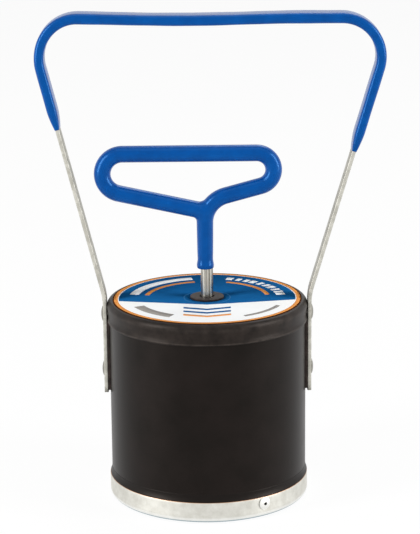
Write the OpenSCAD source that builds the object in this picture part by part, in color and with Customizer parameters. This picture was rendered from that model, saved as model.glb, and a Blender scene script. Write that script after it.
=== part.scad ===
// Hand-held magnetic lifter for loose steel parts.
// A magnet on a lift rod slides inside a closed can. With the rod down, steel parts cling to the pan under
// the can. Pulling the rod up by its loop carries the magnet away from the pan, and the parts fall off.
// The origin is at the middle of the pan's underside, +Z is up, and both handles lie in the XZ plane.

/* [Tube] */
// Outer diameter of the plastic tube
tube_d = 127; // [110:1:150]
// Wall of the tube
tube_wall = 3.2; // [2.6:0.1:4.2]
// Length of the tube
tube_len = 127; // [115:1:170]

/* [Pan] */
// Sheet thickness of the pan
pan_sheet = 1.2; // [0.8:0.1:1.6]
// Outer height of the pan
pan_h = 13.7; // [12:0.1:20]
// Outer radius of the fold round the pan's floor
pan_edge_r = 3; // [2.4:0.1:4]
// Height of the hollow sealant fillet above the pan's rim
seal_h = 5; // [2:0.1:8]
// Width of the sealant where it feathers out on the tube
seal_feather = 0.15; // [0.1:0.05:0.4]
// Number of blind rivets round the pan
pan_rivet_n = 2; // [2:1:4]
// Angle of the first pan rivet, from the front towards the right
pan_rivet_angle = 33; // [20:1:60]
// Body diameter of a pan rivet
pan_rivet_d = 4; // [3.2:0.1:4.8]
// Pan rivet heads to the pan's rim
pan_rivet_gap = 0.3; // [0.2:0.1:2]

/* [Cap and label] */
// Thickness of the cap's top
cap_top = 1.8; // [1.2:0.1:3]
// Thickness of the cap's skirt
cap_skirt = 1.2; // [0.8:0.1:2]
// Reach of the skirt below the tube's upper end
cap_reach = 11.7; // [11:0.1:18]
// Outer radius of the cap's shoulder
cap_shoulder_r = 3.5; // [2:0.1:5]
// Inner radius of the cap's shoulder, and the chamfer that it meets on the tube
cap_corner_r = 1; // [0.5:0.1:2]
// Flat border of the cap round the label
label_border = 0.3; // [0.1:0.1:10]
// Thickness of the label
label_t = 0.3; // [0.2:0.1:0.6]

/* [Rod grommet] */
// Rubber between the rod and the cap's hole
grommet_wall = 4; // [2:0.1:6]
// Overhang of the flanges beyond the cap's hole
grommet_lip = 2.8; // [1.5:0.1:5]
// Thickness of each flange
grommet_flange_t = 1.8; // [1:0.1:3]
// Radius of the flanges' rounded rims
grommet_rim_r = 0.7; // [0.3:0.1:0.9]

/* [Carry handle] */
// Width of the flat bar
strap_w = 12.7; // [10:0.1:16]
// Thickness of the flat bar
strap_t = 2.4; // [1.6:0.1:4]
// Height of the grip above the tube's upper end, to the middle of the bar
handle_rise = 183; // [170:0.1:240]
// Outward lean of the legs
handle_lean = 15.3; // [8:0.1:20]
// Sideways set of the handle, which the right leg leans out more and the left leg less
handle_set_angle = 1.3; // [0:0.1:4]
// Bend radius at each upper corner, to the middle of the bar
handle_corner_r = 24.7; // [16:0.1:35]
// Bend radius where each leg leaves the can, to the middle of the bar
handle_foot_r = 12; // [6:0.1:25]
// Height of the start of that bend above the tube's upper end
handle_foot_rise = 2.9; // [2:0.1:12]
// Body diameter of a strap rivet
strap_rivet_d = 4.8; // [4:0.1:6]
// Upper strap rivets below the tube's upper end
upper_rivet_drop = 7.7; // [6.5:0.1:8.5]
// Distance between the two rivets of a leg
rivet_pitch = 37; // [25:0.1:60]
// Bar below the lower rivet
strap_tail = 15.8; // [10:0.1:20]
// Radius of the bar's rounded ends
strap_end_r = 18; // [8:0.1:20]
// Thickness of the vinyl on the grip
grip_coat_t = 2; // [0.8:0.1:3]
// Reach of the vinyl down the left leg, below the grip
grip_left = 70; // [45:0.1:120]
// Reach of the vinyl down the right leg, below the grip
grip_right = 83; // [45:0.1:120]
// End of each backing strip above the bar's end
pad_inset = 2.6; // [1:0.1:8]
// Diameter of the backing washers inside the tube
backing_d = 12; // [10:0.1:16]
// Thickness of the backing washers
backing_t = 1.2; // [0.8:0.1:2]

/* [Lift rod] */
// Diameter of the rod
rod_d = 7.9; // [6:0.1:10]
// Bare rod between the cap and the vinyl
rod_bare = 20.1; // [10:0.1:40]
// Coated shank below the fork
shank_coated = 30.2; // [15:0.1:60]
// Turn of the rod at the fork, away from upright
fork_turn = 74.9; // [65:0.1:80]
// Bend radius at the fork, to the middle of the rod
fork_r = 18; // [14:0.1:24]
// Straight rod between the fork and the right-hand bend
right_run = 23.5; // [15:0.1:40]
// Radius of the right-hand bend
right_r = 10.9; // [9:0.1:14]
// Straight part of the loop's top
top_run = 84.5; // [70:0.1:100]
// Radius of the left-hand bend
left_r = 13.4; // [10:0.1:15]
// Height of the weld above the start of the fork's bend
weld_rise = 6.8; // [3:0.1:9]
// Thickness of the vinyl on the loop
loop_coat_t = 1.05; // [0.6:0.05:2]
// Extra radius of the bead at the vinyl's lower end
bead_swell = 0.25; // [0.1:0.05:1]
// Length of that bead
bead_len = 7; // [4:0.1:12]

/* [Magnet] */
// Thickness of the ring magnet
magnet_t = 20; // [12:1:25]
// Hole in the ring magnet
magnet_hole_d = 60; // [40:1:64]
// Thickness of the steel back plate
plate_t = 5; // [3:0.5:8]
// Overhang of the back plate beyond the magnet
plate_lip = 2; // [0.5:0.1:4]

/* [Rod fasteners] */
// Metal between the thread and a flat of the nuts
nut_wall = 2.4; // [1.8:0.1:3.5]
// Height of the upper nut
nut_h = 6.7; // [4:0.1:8]
// Height of the hexagon of the lock nut
lock_nut_hex_h = 6.4; // [4:0.1:8]
// Height of the collar of the lock nut, which holds its nylon ring
lock_nut_collar_h = 2.3; // [1.5:0.1:3.5]
// Wall of that collar
lock_nut_collar_wall = 0.9; // [0.5:0.1:1.2]
// Land of the flat washers beyond the rod
washer_land = 5.5; // [4:0.1:9]
// Thickness of the flat washers
washer_t = 1.6; // [1:0.1:3]
// Rod below the lock nut
rod_tail = 1.5; // [0.5:0.1:2]
// Wall of the rubber bump stop
bump_wall = 4; // [2:0.1:6]
// Length of the bump stop
bump_len = 21.1; // [5:0.1:30]
// Radius of the bump stop's rounded ends
bump_edge_r = 1.2; // [0.4:0.1:1.8]

/* [Clearances] */
// Radial clearance of running and sliding fits
running_fit = 0.1; // [0.05:0.01:0.2]
// Gap between parts that are pressed, bonded or riveted together
seat_gap = 0.05; // [0.02:0.01:0.1]
// Gap between the vinyl and the bar that it coats
grip_gap = 0.05; // [0.03:0.01:0.1]
// Gap below the magnet at rest, and over the bump stop at full lift
rest_gap = 0.3; // [0.2:0.1:1]
// Play between the back plate and each washer, so that the rod turns
swivel_gap = 0.2; // [0.1:0.05:0.5]
// Room between the back plate and the ends of the strap rivets
plate_clear = 1.7; // [0.8:0.1:4]

/* [Hidden] */
$fn = 64;

// Overlap of a cutting shape beyond what it cuts
cut = 1;
// Extra radius of the balls in a bent rod, and how far each run stops short of their middles
ball_swell = 0.02;
// Turn of each facet in the bends of a flat bar, and facets round each rounded edge
facet_turn = 6;
edge_facets = 4;

// Tube, pan and cap
tube_r = tube_d / 2;
bore_r = tube_r - tube_wall;
tube_foot_z = pan_sheet;
tube_top_z = tube_foot_z + tube_len;
pan_in_r = tube_r + running_fit;
pan_r = pan_in_r + pan_sheet;
pan_fold_r = pan_edge_r - pan_sheet;
cap_in_r = tube_r + seat_gap;
cap_r = cap_in_r + cap_skirt;
cap_z = tube_top_z + cap_top;
skirt_z = tube_top_z - cap_reach;
label_r = cap_r - cap_shoulder_r - label_border;

// Grommet, which grips the cap and the label between its flanges
rod_r = rod_d / 2;
slide_r = rod_r + running_fit;
neck_r = slide_r + grommet_wall;
flange_r = neck_r + grommet_lip;
grommet_foot_z = tube_top_z - grommet_flange_t;
grommet_seat_z = cap_z + label_t;
grommet_top_z = grommet_seat_z + grommet_flange_t;

// Blind rivets in the usual proportions, as multiples of the body's diameter
rivet_head_ratio = 2;
rivet_rim_ratio = 0.1;
rivet_dome_ratio = 0.2;
rivet_bulb_ratio = 1.4;
rivet_bulb_len_ratio = 0.7;
rivet_bore_ratio = 0.55;
rivet_break_ratio = 0.3;
rivet_stem_head_ratio = 0.9;
rivet_stem_head_len_ratio = 0.35;

// Seat of a flat disc of radius r on the inside of the tube
function bore_seat(r) = sqrt(bore_r * bore_r - r * r);

// Pan rivets, through the pan and the tube
pan_rivet_z = pan_h - pan_rivet_gap - pan_rivet_d * rivet_head_ratio / 2;
pan_grip = pan_r - bore_seat(pan_rivet_d * rivet_bulb_ratio / 2);

// Strap rivets, through the bar, the cap or a pad, the tube and a backing washer
strap_in_x = cap_r + seat_gap;
strap_x = strap_in_x + strap_t / 2;
strap_out_x = strap_in_x + strap_t;
upper_rivet_z = tube_top_z - upper_rivet_drop;
lower_rivet_z = upper_rivet_z - rivet_pitch;
backing_x = bore_seat(backing_d / 2);
strap_bulb_x = backing_x - backing_t;
strap_grip = strap_out_x - strap_bulb_x;
strap_rivet_end_x = strap_bulb_x - strap_rivet_d * (rivet_bulb_len_ratio + rivet_stem_head_len_ratio);

// Magnet and what holds it on the rod, from the pan upwards
plate_r = strap_rivet_end_x - plate_clear;
magnet_r = plate_r - plate_lip;
magnet_z = pan_sheet + rest_gap;
plate_z = magnet_z + magnet_t;
lower_washer_z = plate_z - swivel_gap - washer_t;
lock_nut_z = lower_washer_z - lock_nut_hex_h - lock_nut_collar_h;
rod_foot_z = lock_nut_z - rod_tail;
upper_washer_z = plate_z + plate_t + swivel_gap;
upper_nut_z = upper_washer_z + washer_t;
bump_z = upper_nut_z + nut_h;
thread_r = rod_r + seat_gap;
nut_r = rod_r + nut_wall;
washer_r = rod_r + washer_land;
collar_in_r = nut_r - lock_nut_collar_wall;

// A place on a bent bar is [x, z, heading], with the heading turned from +X towards +Z, so 90 is straight up
function ahead(p, run) = [p[0] + run * cos(p[2]), p[1] + run * sin(p[2]), p[2]];
function around(p, turn, r) = let (side = sign(turn), heading = p[2] + turn)
    [p[0] + side * r * (sin(heading) - sin(p[2])), p[1] - side * r * (cos(heading) - cos(p[2])), heading];

// Places along a bent bar. Each step is [straight run, turn after it, radius of the turn], with left turns
// positive and no turn after the last run
function places(p, steps, i = 0) =
    let (bend = ahead(p, steps[i][0]), turn = steps[i][1], r = steps[i][2], n = ceil(abs(turn) / facet_turn))
    n == 0 ? [p, bend]
        : concat([p], [for (k = [0 : n - 1]) around(bend, turn * k / n, r)],
            places(around(bend, turn, r), steps, i + 1));

// One edge of a bent bar seen from the front, at a distance to the left of its middle
function edge(at, left) = [for (p = at) [p[0] - left * sin(p[2]), p[1] + left * cos(p[2])]];
function reverse(list) = [for (i = [len(list) - 1 : -1 : 0]) list[i]];

// The carry handle: up from each foot, out along the leg and over the corner. Both sides are worked out as
// if they were the left one, each with its own lean
strap_foot_z = lower_rivet_z - strap_tail;
foot_bend_z = tube_top_z + handle_foot_rise;
strap_foot_run = foot_bend_z - strap_foot_z;
bar_z = tube_top_z + handle_rise;
left_lean = handle_lean - handle_set_angle;
right_lean = handle_lean + handle_set_angle;
function leg_start(lean) = around([-strap_x, foot_bend_z, 90], lean, handle_foot_r);
function corner(p) = around(p, -p[2], handle_corner_r);
function leg_run(lean) = (bar_z - corner(leg_start(lean))[1]) / cos(lean);
function leg_end(lean) = ahead(leg_start(lean), leg_run(lean));
bar_run = -corner(leg_end(left_lean))[0] - corner(leg_end(right_lean))[0];

// The loop: up the shank, right at the fork, back along the top, round the left and down to the weld
coat_foot_z = cap_z + rod_bare;
fork_z = coat_foot_z + shank_coated;
right_turn = 90 + fork_turn;
fork_end = around([0, fork_z, 90], -fork_turn, fork_r);
loop_top_start = around(ahead(fork_end, right_run), right_turn, right_r);
loop_top_end = ahead(loop_top_start, top_run);
to_weld = [-loop_top_end[0], fork_z + weld_rise - (loop_top_end[1] - left_r)];
left_run = sqrt(to_weld * to_weld - left_r * left_r);
left_turn = 270 + atan2(to_weld[1], to_weld[0]) - atan2(left_run, left_r);

// Flat bar of thickness t and width w, bent along its places
module flat_bar(at, t, w) {
    rotate([90, 0, 0])
        linear_extrude(w, center = true)
            polygon(concat(edge(at, t / 2), reverse(edge(at, -t / 2))));
}

// The same bar with its four edges rounded to edge_r
module round_edged_bar(at, t, w, edge_r) {
    corners = [[1, 1], [-1, 1], [-1, -1], [1, -1]];
    section = [for (i = [0 : 3], k = [0 : edge_facets]) let (turn = 90 * (i + k / edge_facets))
        [corners[i][0] * (t / 2 - edge_r) + edge_r * cos(turn),
            corners[i][1] * (w / 2 - edge_r) + edge_r * sin(turn)]];
    n = len(section);
    last = len(at) - 1;
    polyhedron(
        points = [for (p = at, q = section) [p[0] - q[0] * sin(p[2]), q[1], p[1] + q[0] * cos(p[2])]],
        faces = concat(
            [reverse([for (j = [0 : n - 1]) j]), [for (j = [0 : n - 1]) last * n + j]],
            [for (i = [0 : last - 1], j = [0 : n - 1])
                [i * n + j, i * n + (j + 1) % n, (i + 1) * n + (j + 1) % n, (i + 1) * n + j]]
        )
    );
}

// Round rod of radius r along its own Z, bent by the same kind of steps, with a ball at each end of a bend
module bent_rod(steps, r) {
    run = steps[0][0];
    turn = steps[0][1];
    bend_r = steps[0][2];
    centre = -sign(turn) * bend_r;
    translate([0, 0, ball_swell])
        cylinder(r = r, h = run - 2 * ball_swell);
    if (len(steps) > 1)
        translate([0, 0, run]) {
            sphere(r + ball_swell);
            mirror([turn < 0 ? 1 : 0, 0, 0])
                translate([-bend_r, 0, 0])
                    rotate([90, 0, 0])
                        rotate_extrude(angle = abs(turn))
                            translate([bend_r, 0])
                                circle(r);
            translate([centre, 0, 0])
                rotate([0, -turn, 0])
                    translate([-centre, 0, 0]) {
                        sphere(r + ball_swell);
                        bent_rod([for (i = [1 : len(steps) - 1]) steps[i]], r);
                    }
        }
}

// The lift rod's form, from a shank of the given length to the weld
module loop_rod(shank, r) {
    bent_rod([
            [shank, -fork_turn, fork_r],
            [right_run, right_turn, right_r],
            [top_run, left_turn, left_r],
            [left_run, 0, 0]
        ], r);
}

module ring(r_out, r_in, h) {
    difference() {
        cylinder(r = r_out, h = h);
        translate([0, 0, -cut])
            cylinder(r = r_in, h = h + 2 * cut);
    }
}

// Half section of a disc with a rounded upper edge
module rounded_disc_section(r, h, edge_r) {
    square([r - edge_r, h]);
    square([r, h - edge_r]);
    translate([r - edge_r, h - edge_r])
        circle(edge_r);
}

// A round cup, mouth downwards
module cup(r, h, wall, top, outer_edge_r, inner_edge_r) {
    rotate_extrude()
        difference() {
            rounded_disc_section(r, h, outer_edge_r);
            translate([0, -cut])
                rounded_disc_section(r - wall, h - top + cut, inner_edge_r);
        }
}

// Set blind rivet along Z, with the underside of its head at z = 0
module blind_rivet(d, grip) {
    head_r = d * rivet_head_ratio / 2;
    dome_h = d * rivet_dome_ratio;
    dome_r = (head_r * head_r + dome_h * dome_h) / (2 * dome_h);
    rim_h = d * rivet_rim_ratio;
    tail = grip + d * rivet_bulb_len_ratio;
    rotate_extrude()
        difference() {
            union() {
                square([head_r, rim_h]);
                translate([0, rim_h])
                    intersection() {
                        translate([0, dome_h - dome_r])
                            circle(dome_r);
                        square([head_r, dome_h]);
                    }
                translate([0, -grip - cut])
                    square([d / 2, grip + 2 * cut - rim_h]);
                translate([0, -tail])
                    square([d * rivet_bulb_ratio / 2, tail - grip]);
            }
            translate([-cut, -tail - cut])
                square([d * rivet_bore_ratio / 2 + cut, tail + rim_h + dome_h + 2 * cut]);
        }
}

// What is left of a blind rivet's stem: its head behind the bulb, and the shank up to the break
module rivet_mandrel(d, grip) {
    tail = grip + d * rivet_bulb_len_ratio;
    stem_r = d * rivet_bore_ratio / 2 - seat_gap;
    stem_head_len = d * rivet_stem_head_len_ratio;
    translate([0, 0, -tail])
        cylinder(r = stem_r, h = tail - d * rivet_break_ratio);
    translate([0, 0, -tail - stem_head_len])
        cylinder(d = d * rivet_stem_head_ratio, h = stem_head_len);
}

// Places of the rivets, each with Z pointing out of the can
module at_strap_rivets(heights, x) {
    for (side = [-1, 1], z = heights)
        translate([side * x, 0, z])
            rotate([0, side * 90, 0])
                children();
}

module at_pan_rivets() {
    for (i = [0 : pan_rivet_n - 1])
        rotate([0, 0, pan_rivet_angle + i * 360 / pan_rivet_n])
            translate([0, -pan_r, pan_rivet_z])
                rotate([90, 0, 0])
                    children();
}

// Holes for the rivets, from outside the can to its inside
module strap_rivet_holes(heights) {
    at_strap_rivets(heights, strap_out_x + cut)
        translate([0, 0, -strap_grip - 2 * cut])
            cylinder(d = strap_rivet_d + 2 * seat_gap, h = strap_grip + 2 * cut);
}

module pan_rivet_holes() {
    at_pan_rivets()
        translate([0, 0, -pan_grip - cut])
            cylinder(d = pan_rivet_d + 2 * seat_gap, h = pan_grip + 2 * cut);
}

// Extruded plastic tube, chamfered to sit in the pan's fold and in the cap's shoulder
module can_tube() {
    color("#2d2927")
        difference() {
            rotate_extrude()
                polygon([
                    [bore_r, tube_foot_z],
                    [tube_r - pan_fold_r, tube_foot_z],
                    [tube_r, tube_foot_z + pan_fold_r],
                    [tube_r, tube_top_z - cap_corner_r],
                    [tube_r - cap_corner_r, tube_top_z],
                    [bore_r, tube_top_z]
                ]);
            strap_rivet_holes([upper_rivet_z, lower_rivet_z]);
            pan_rivet_holes();
        }
}

// Dip-moulded vinyl cap over the tube's upper end
module top_cap() {
    color("#332f2e")
        difference() {
            translate([0, 0, skirt_z])
                cup(cap_r, cap_z - skirt_z, cap_skirt, cap_top, cap_shoulder_r, cap_corner_r);
            translate([0, 0, tube_top_z - cut])
                cylinder(r = neck_r + seat_gap, h = cap_top + 2 * cut);
            strap_rivet_holes([upper_rivet_z]);
        }
}

// Printed disc on the cap
module top_label() {
    color("#f2f3ef")
        translate([0, 0, cap_z])
            ring(label_r, neck_r + seat_gap, label_t);
}

// Rubber grommet that guides the rod: two round-edged flanges on a neck
module rod_grommet() {
    color("#1e1c1c")
        difference() {
            union() {
                translate([0, 0, grommet_seat_z])
                    rotate_extrude()
                        rounded_disc_section(flange_r, grommet_flange_t, grommet_rim_r);
                translate([0, 0, grommet_foot_z])
                    cylinder(r = neck_r, h = grommet_top_z - grommet_foot_z - grommet_flange_t / 2);
                translate([0, 0, tube_top_z])
                    mirror([0, 0, 1])
                        rotate_extrude()
                            rounded_disc_section(flange_r, grommet_flange_t, grommet_rim_r);
            }
            translate([0, 0, grommet_foot_z - cut])
                cylinder(r = slide_r, h = grommet_top_z - grommet_foot_z + 2 * cut);
        }
}

// Drawn sheet-metal pan that closes the tube and carries the load
module bottom_pan() {
    color("#c9c9c5")
        difference() {
            translate([0, 0, pan_h])
                mirror([0, 0, 1])
                    cup(pan_r, pan_h, pan_sheet, pan_sheet, pan_edge_r, pan_fold_r);
            pan_rivet_holes();
        }
}

// Sealant on the pan's rim, smoothed to a hollow fillet that runs out along the tube
module pan_seal() {
    seal_r = tube_r + seat_gap;
    foot_w = pan_r - seal_r;
    color("#1b1919")
        rotate_extrude()
            polygon([
                [seal_r, pan_h],
                [pan_r, pan_h],
                [seal_r + foot_w / 3, pan_h + seal_h / 3],
                [seal_r + seal_feather, pan_h + seal_h],
                [seal_r, pan_h + seal_h]
            ]);
}

module pan_rivets() {
    color("#b9b9b6")
        at_pan_rivets()
            blind_rivet(pan_rivet_d, pan_grip);
}

module pan_rivet_mandrels() {
    color("#6d6c69")
        at_pan_rivets()
            rivet_mandrel(pan_rivet_d, pan_grip);
}

// Flat bar bent into the carry handle, with its ends rounded off
module carry_strap() {
    color("#bdbcb2")
        difference() {
            flat_bar(places([-strap_x, strap_foot_z, 90], [
                    [strap_foot_run, left_lean, handle_foot_r],
                    [leg_run(left_lean), -90 - left_lean, handle_corner_r],
                    [bar_run, -90 - right_lean, handle_corner_r],
                    [leg_run(right_lean), right_lean, handle_foot_r],
                    [strap_foot_run, 0, 0]
                ]), strap_t, strap_w);
            for (side = [-1, 1])
                translate([side * strap_x, 0, strap_foot_z + strap_end_r])
                    rotate([0, 90, 0])
                        difference() {
                            translate([0, -strap_w, -strap_t])
                                cube([2 * strap_end_r, 2 * strap_w, 2 * strap_t]);
                            cylinder(r = strap_end_r, h = 4 * strap_t, center = true);
                        }
            strap_rivet_holes([upper_rivet_z, lower_rivet_z]);
        }
}

// Straight run of a leg that the vinyl covers, where it reaches that far below the grip
function coated_run(lean, reach) = (leg_end(lean)[1] - bar_z + reach) / cos(lean);

// Places along the coated top of the carry handle, with each end lengthened by extra
function grip_places(extra) =
    let (left = coated_run(left_lean, grip_left) + extra, right = coated_run(right_lean, grip_right) + extra)
    places(ahead(leg_end(left_lean), -left), [
            [left, -90 - left_lean, handle_corner_r],
            [bar_run, -90 - right_lean, handle_corner_r],
            [right, 0, 0]
        ]);

// Dipped vinyl over the top of the carry handle
module carry_grip() {
    color("#0a52a3")
        difference() {
            round_edged_bar(grip_places(0),
                strap_t + 2 * grip_coat_t, strap_w + 2 * grip_coat_t, grip_coat_t);
            flat_bar(grip_places(cut), strap_t + 2 * grip_gap, strap_w + 2 * grip_gap);
        }
}

// Dark backing strip between each leg and the tube, below the cap's skirt
module strap_pads() {
    pad_top_z = skirt_z - seat_gap;
    pad_foot_z = strap_foot_z + pad_inset;
    color("#151313")
        difference() {
            for (side = [-1, 1])
                translate([side * (strap_in_x - seat_gap - tube_wall / 2), 0, (pad_foot_z + pad_top_z) / 2])
                    cube([tube_wall, strap_w, pad_top_z - pad_foot_z], center = true);
            cylinder(r = tube_r + seat_gap, h = tube_top_z, $fn = 256);
            strap_rivet_holes([lower_rivet_z]);
        }
}

module upper_strap_rivets() {
    color("#a9a8a3")
        at_strap_rivets([upper_rivet_z], strap_out_x)
            blind_rivet(strap_rivet_d, strap_grip);
}

module lower_strap_rivets() {
    color("#a9a8a3")
        at_strap_rivets([lower_rivet_z], strap_out_x)
            blind_rivet(strap_rivet_d, strap_grip);
}

module strap_rivet_mandrels() {
    color("#6d6c69")
        at_strap_rivets([upper_rivet_z, lower_rivet_z], strap_out_x)
            rivet_mandrel(strap_rivet_d, strap_grip);
}

// Washers that spread the rivets' pull on the inside of the tube
module backing_washers() {
    color("#b4b4b0")
        at_strap_rivets([upper_rivet_z, lower_rivet_z], strap_bulb_x)
            ring(backing_d / 2, strap_rivet_d / 2 + seat_gap, backing_t);
}

// Ferrite ring, bonded under the back plate
module ring_magnet() {
    color("#3b3a3c")
        translate([0, 0, magnet_z])
            ring(magnet_r, magnet_hole_d / 2, magnet_t);
}

// Steel plate that carries the magnet, and in which the rod turns
module back_plate() {
    color("#8f9092")
        translate([0, 0, plate_z])
            ring(plate_r, slide_r, plate_t);
}

// One rod: the shank, and the loop whose end is welded back to it
module lift_rod() {
    color("#c4c3bd")
        translate([0, 0, rod_foot_z])
            loop_rod(fork_z - rod_foot_z, rod_r);
}

// Dipped vinyl over the loop and the upper shank, with a bead at its lower end
module loop_grip() {
    coat_r = rod_r + loop_coat_t;
    bead_r = coat_r + bead_swell;
    bead_peak = bead_len / 4;
    color("#0a52a3")
        translate([0, 0, coat_foot_z])
            difference() {
                union() {
                    loop_rod(shank_coated, coat_r);
                    cylinder(r1 = coat_r, r2 = bead_r, h = bead_peak);
                    translate([0, 0, bead_peak])
                        cylinder(r1 = bead_r, r2 = coat_r, h = bead_len - bead_peak);
                }
                translate([0, 0, -cut])
                    loop_rod(shank_coated + cut, rod_r + grip_gap);
            }
}

// Rubber sleeve on the rod that meets the grommet at full lift
module bump_stop() {
    color("#242222")
        translate([0, 0, bump_z])
            difference() {
                rotate_extrude()
                    rounded_disc_section(thread_r + bump_wall, bump_len, bump_edge_r);
                translate([0, 0, -cut])
                    cylinder(r = thread_r, h = bump_len + 2 * cut);
            }
}

module hex_nut(h) {
    difference() {
        cylinder(r = nut_r / cos(30), h = h, $fn = 6);
        translate([0, 0, -cut])
            cylinder(r = thread_r, h = h + 2 * cut);
    }
}

module upper_nut() {
    color("#b7b7b2")
        translate([0, 0, upper_nut_z])
            hex_nut(nut_h);
}

module upper_washer() {
    color("#c2c2bd")
        translate([0, 0, upper_washer_z])
            ring(washer_r, thread_r, washer_t);
}

module lower_washer() {
    color("#c2c2bd")
        translate([0, 0, lower_washer_z])
            ring(washer_r, thread_r, washer_t);
}

// Lock nut under the back plate, collar downwards
module lock_nut() {
    color("#b7b7b2")
        translate([0, 0, lock_nut_z]) {
            ring(nut_r, collar_in_r, lock_nut_collar_h);
            translate([0, 0, lock_nut_collar_h])
                hex_nut(lock_nut_hex_h);
        }
}

// Nylon ring in the lock nut's collar
module lock_nut_ring() {
    color("#3f6fb0")
        translate([0, 0, lock_nut_z])
            ring(collar_in_r - seat_gap, thread_r, lock_nut_collar_h - seat_gap);
}

can_tube();
top_cap();
top_label();
rod_grommet();
bottom_pan();
pan_seal();
pan_rivets();
pan_rivet_mandrels();
carry_strap();
carry_grip();
strap_pads();
upper_strap_rivets();
lower_strap_rivets();
strap_rivet_mandrels();
backing_washers();
ring_magnet();
back_plate();
lift_rod();
loop_grip();
bump_stop();
upper_nut();
upper_washer();
lower_washer();
lock_nut();
lock_nut_ring();
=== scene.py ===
from math import asin, atan2, ceil, cos, degrees, hypot, pi, radians, sin, sqrt

import bmesh
import bpy
import numpy as np
from mathutils import Matrix, Vector
from mathutils.kdtree import KDTree


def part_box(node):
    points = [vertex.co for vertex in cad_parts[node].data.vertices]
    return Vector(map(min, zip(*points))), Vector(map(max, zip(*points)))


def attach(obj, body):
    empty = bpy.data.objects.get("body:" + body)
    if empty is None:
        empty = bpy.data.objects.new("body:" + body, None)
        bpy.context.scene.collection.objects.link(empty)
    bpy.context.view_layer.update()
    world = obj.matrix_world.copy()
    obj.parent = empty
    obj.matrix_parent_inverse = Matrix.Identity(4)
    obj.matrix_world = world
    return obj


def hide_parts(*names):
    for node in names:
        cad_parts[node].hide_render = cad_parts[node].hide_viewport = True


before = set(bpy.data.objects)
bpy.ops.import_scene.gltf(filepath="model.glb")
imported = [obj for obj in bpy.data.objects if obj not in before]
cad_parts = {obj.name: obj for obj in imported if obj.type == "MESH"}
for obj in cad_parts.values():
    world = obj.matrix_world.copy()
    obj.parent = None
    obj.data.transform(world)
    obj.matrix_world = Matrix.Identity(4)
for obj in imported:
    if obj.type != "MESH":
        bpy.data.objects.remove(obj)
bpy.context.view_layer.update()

# Bottom pan
# A shallow pan drawn from thin zinc-coated sheet and pushed over the tube's lower end. The press leaves its
# wall a little uneven, and a painted highlight brightens the fold round its floor.
# Sizes are in millimetres here and below, and MM turns them into metres.
MM = 0.001
PAN_SHEET = 1.2
PAN_FOLD_R = 3.0
PAN_RIM_R = 0.4
PAN_DENT = 0.12
# Waves round the pan, each of a height, a count and a phase
PAN_WAVES = [(0.05, 5, 0.4), (0.04, 11, 2.0), (0.03, 23, 1.1)]
# Height above the fold over which the dents grow
DENT_RISE = 4.0
# Heights between which the painted highlight on the fold and the painted bluish shade under it fade in
FOLD_HIGHLIGHT_FROM = 3.8
FOLD_HIGHLIGHT_TO = 2.4
UNDER_SHADE_FROM = 1.8
UNDER_SHADE_TO = 1.0
WALL_STEPS = 6
ROUND_STEPS = 360
MERGE_GAP = 0.001


def corners(node):
    """Lowest and highest corner of a node of the frame, in millimetres."""
    low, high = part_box(node)
    return low / MM, high / MM


def linear(hex_colour):
    """Linear RGBA of an sRGB hex colour."""
    parts = [int(hex_colour[i:i + 2], 16) / 255 for i in (1, 3, 5)]
    return [c / 12.92 if c <= 0.04045 else ((c + 0.055) / 1.055) ** 2.4 for c in parts] + [1.0]


def start_material(name):
    """A new material, its node tree and its shader."""
    material = bpy.data.materials.new(name)
    material.use_nodes = True
    return material, material.node_tree, material.node_tree.nodes["Principled BSDF"]


def fill(tree, node, sockets):
    """Set the input sockets of a node, or link them to another socket or to a node's first output."""
    for name, value in sockets.items():
        named = [s for s in node.inputs if s.name == name and s.enabled]
        socket = named[0] if named else node.inputs[name]
        if isinstance(value, bpy.types.Node):
            value = next(s for s in value.outputs if s.enabled)
        if isinstance(value, bpy.types.NodeSocket):
            tree.links.new(value, socket)
        else:
            socket.default_value = value


def add(tree, kind, sockets, **settings):
    """Add a node with its settings and its inputs."""
    node = tree.nodes.new("ShaderNode" + kind)
    for name, value in settings.items():
        setattr(node, name, value)
    fill(tree, node, sockets)
    return node


def arc(x, z, radius, start, end, steps):
    """Points of an arc round (x, z), from one angle to another in degrees."""
    angles = [radians(start + (end - start) * i / steps) for i in range(steps + 1)]
    return [(x + radius * cos(a), z + radius * sin(a)) for a in angles]


def new_piece(name, points, faces, body, slot, material):
    """A smooth closed piece on a body of the frame, from points in millimetres."""
    mesh = bpy.data.meshes.new(name)
    mesh.from_pydata([tuple(p) for p in np.asarray(points) * MM], [], faces)
    skin = bmesh.new()
    skin.from_mesh(mesh)
    bmesh.ops.remove_doubles(skin, verts=skin.verts, dist=MERGE_GAP * MM)
    bmesh.ops.recalc_face_normals(skin, faces=skin.faces)
    skin.to_mesh(mesh)
    skin.free()
    mesh.shade_smooth()
    mesh.materials.append(material)
    piece = bpy.data.objects.new(name, mesh)
    bpy.context.scene.collection.objects.link(piece)
    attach(piece, body)
    return piece


def spot(r, angle):
    """The point at a radius and an angle, which turns from the front towards the right."""
    return r * sin(angle), -r * cos(angle)


def turned(profile, shape=lambda r, z, angle: (r, z)):
    """Points and faces of a closed profile of (r, z) turned round Z. shape moves a point by its angle."""
    n = len(profile)
    points = []
    for i in range(ROUND_STEPS):
        angle = 2 * pi * i / ROUND_STEPS
        for r, z in profile:
            r, z = shape(r, z, angle)
            points.append((*spot(r, angle), z))
    faces = []
    for i in range(ROUND_STEPS):
        a, b = i * n, (i + 1) % ROUND_STEPS * n
        faces += [(a + j, b + j, b + (j + 1) % n, a + (j + 1) % n) for j in range(n)]
    return points, faces


def waves(at, terms):
    """Sum at one place of waves, each of a height, a count per unit of the place and a phase."""
    return sum(height * sin(count * at + phase) for height, count, phase in terms)


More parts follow.
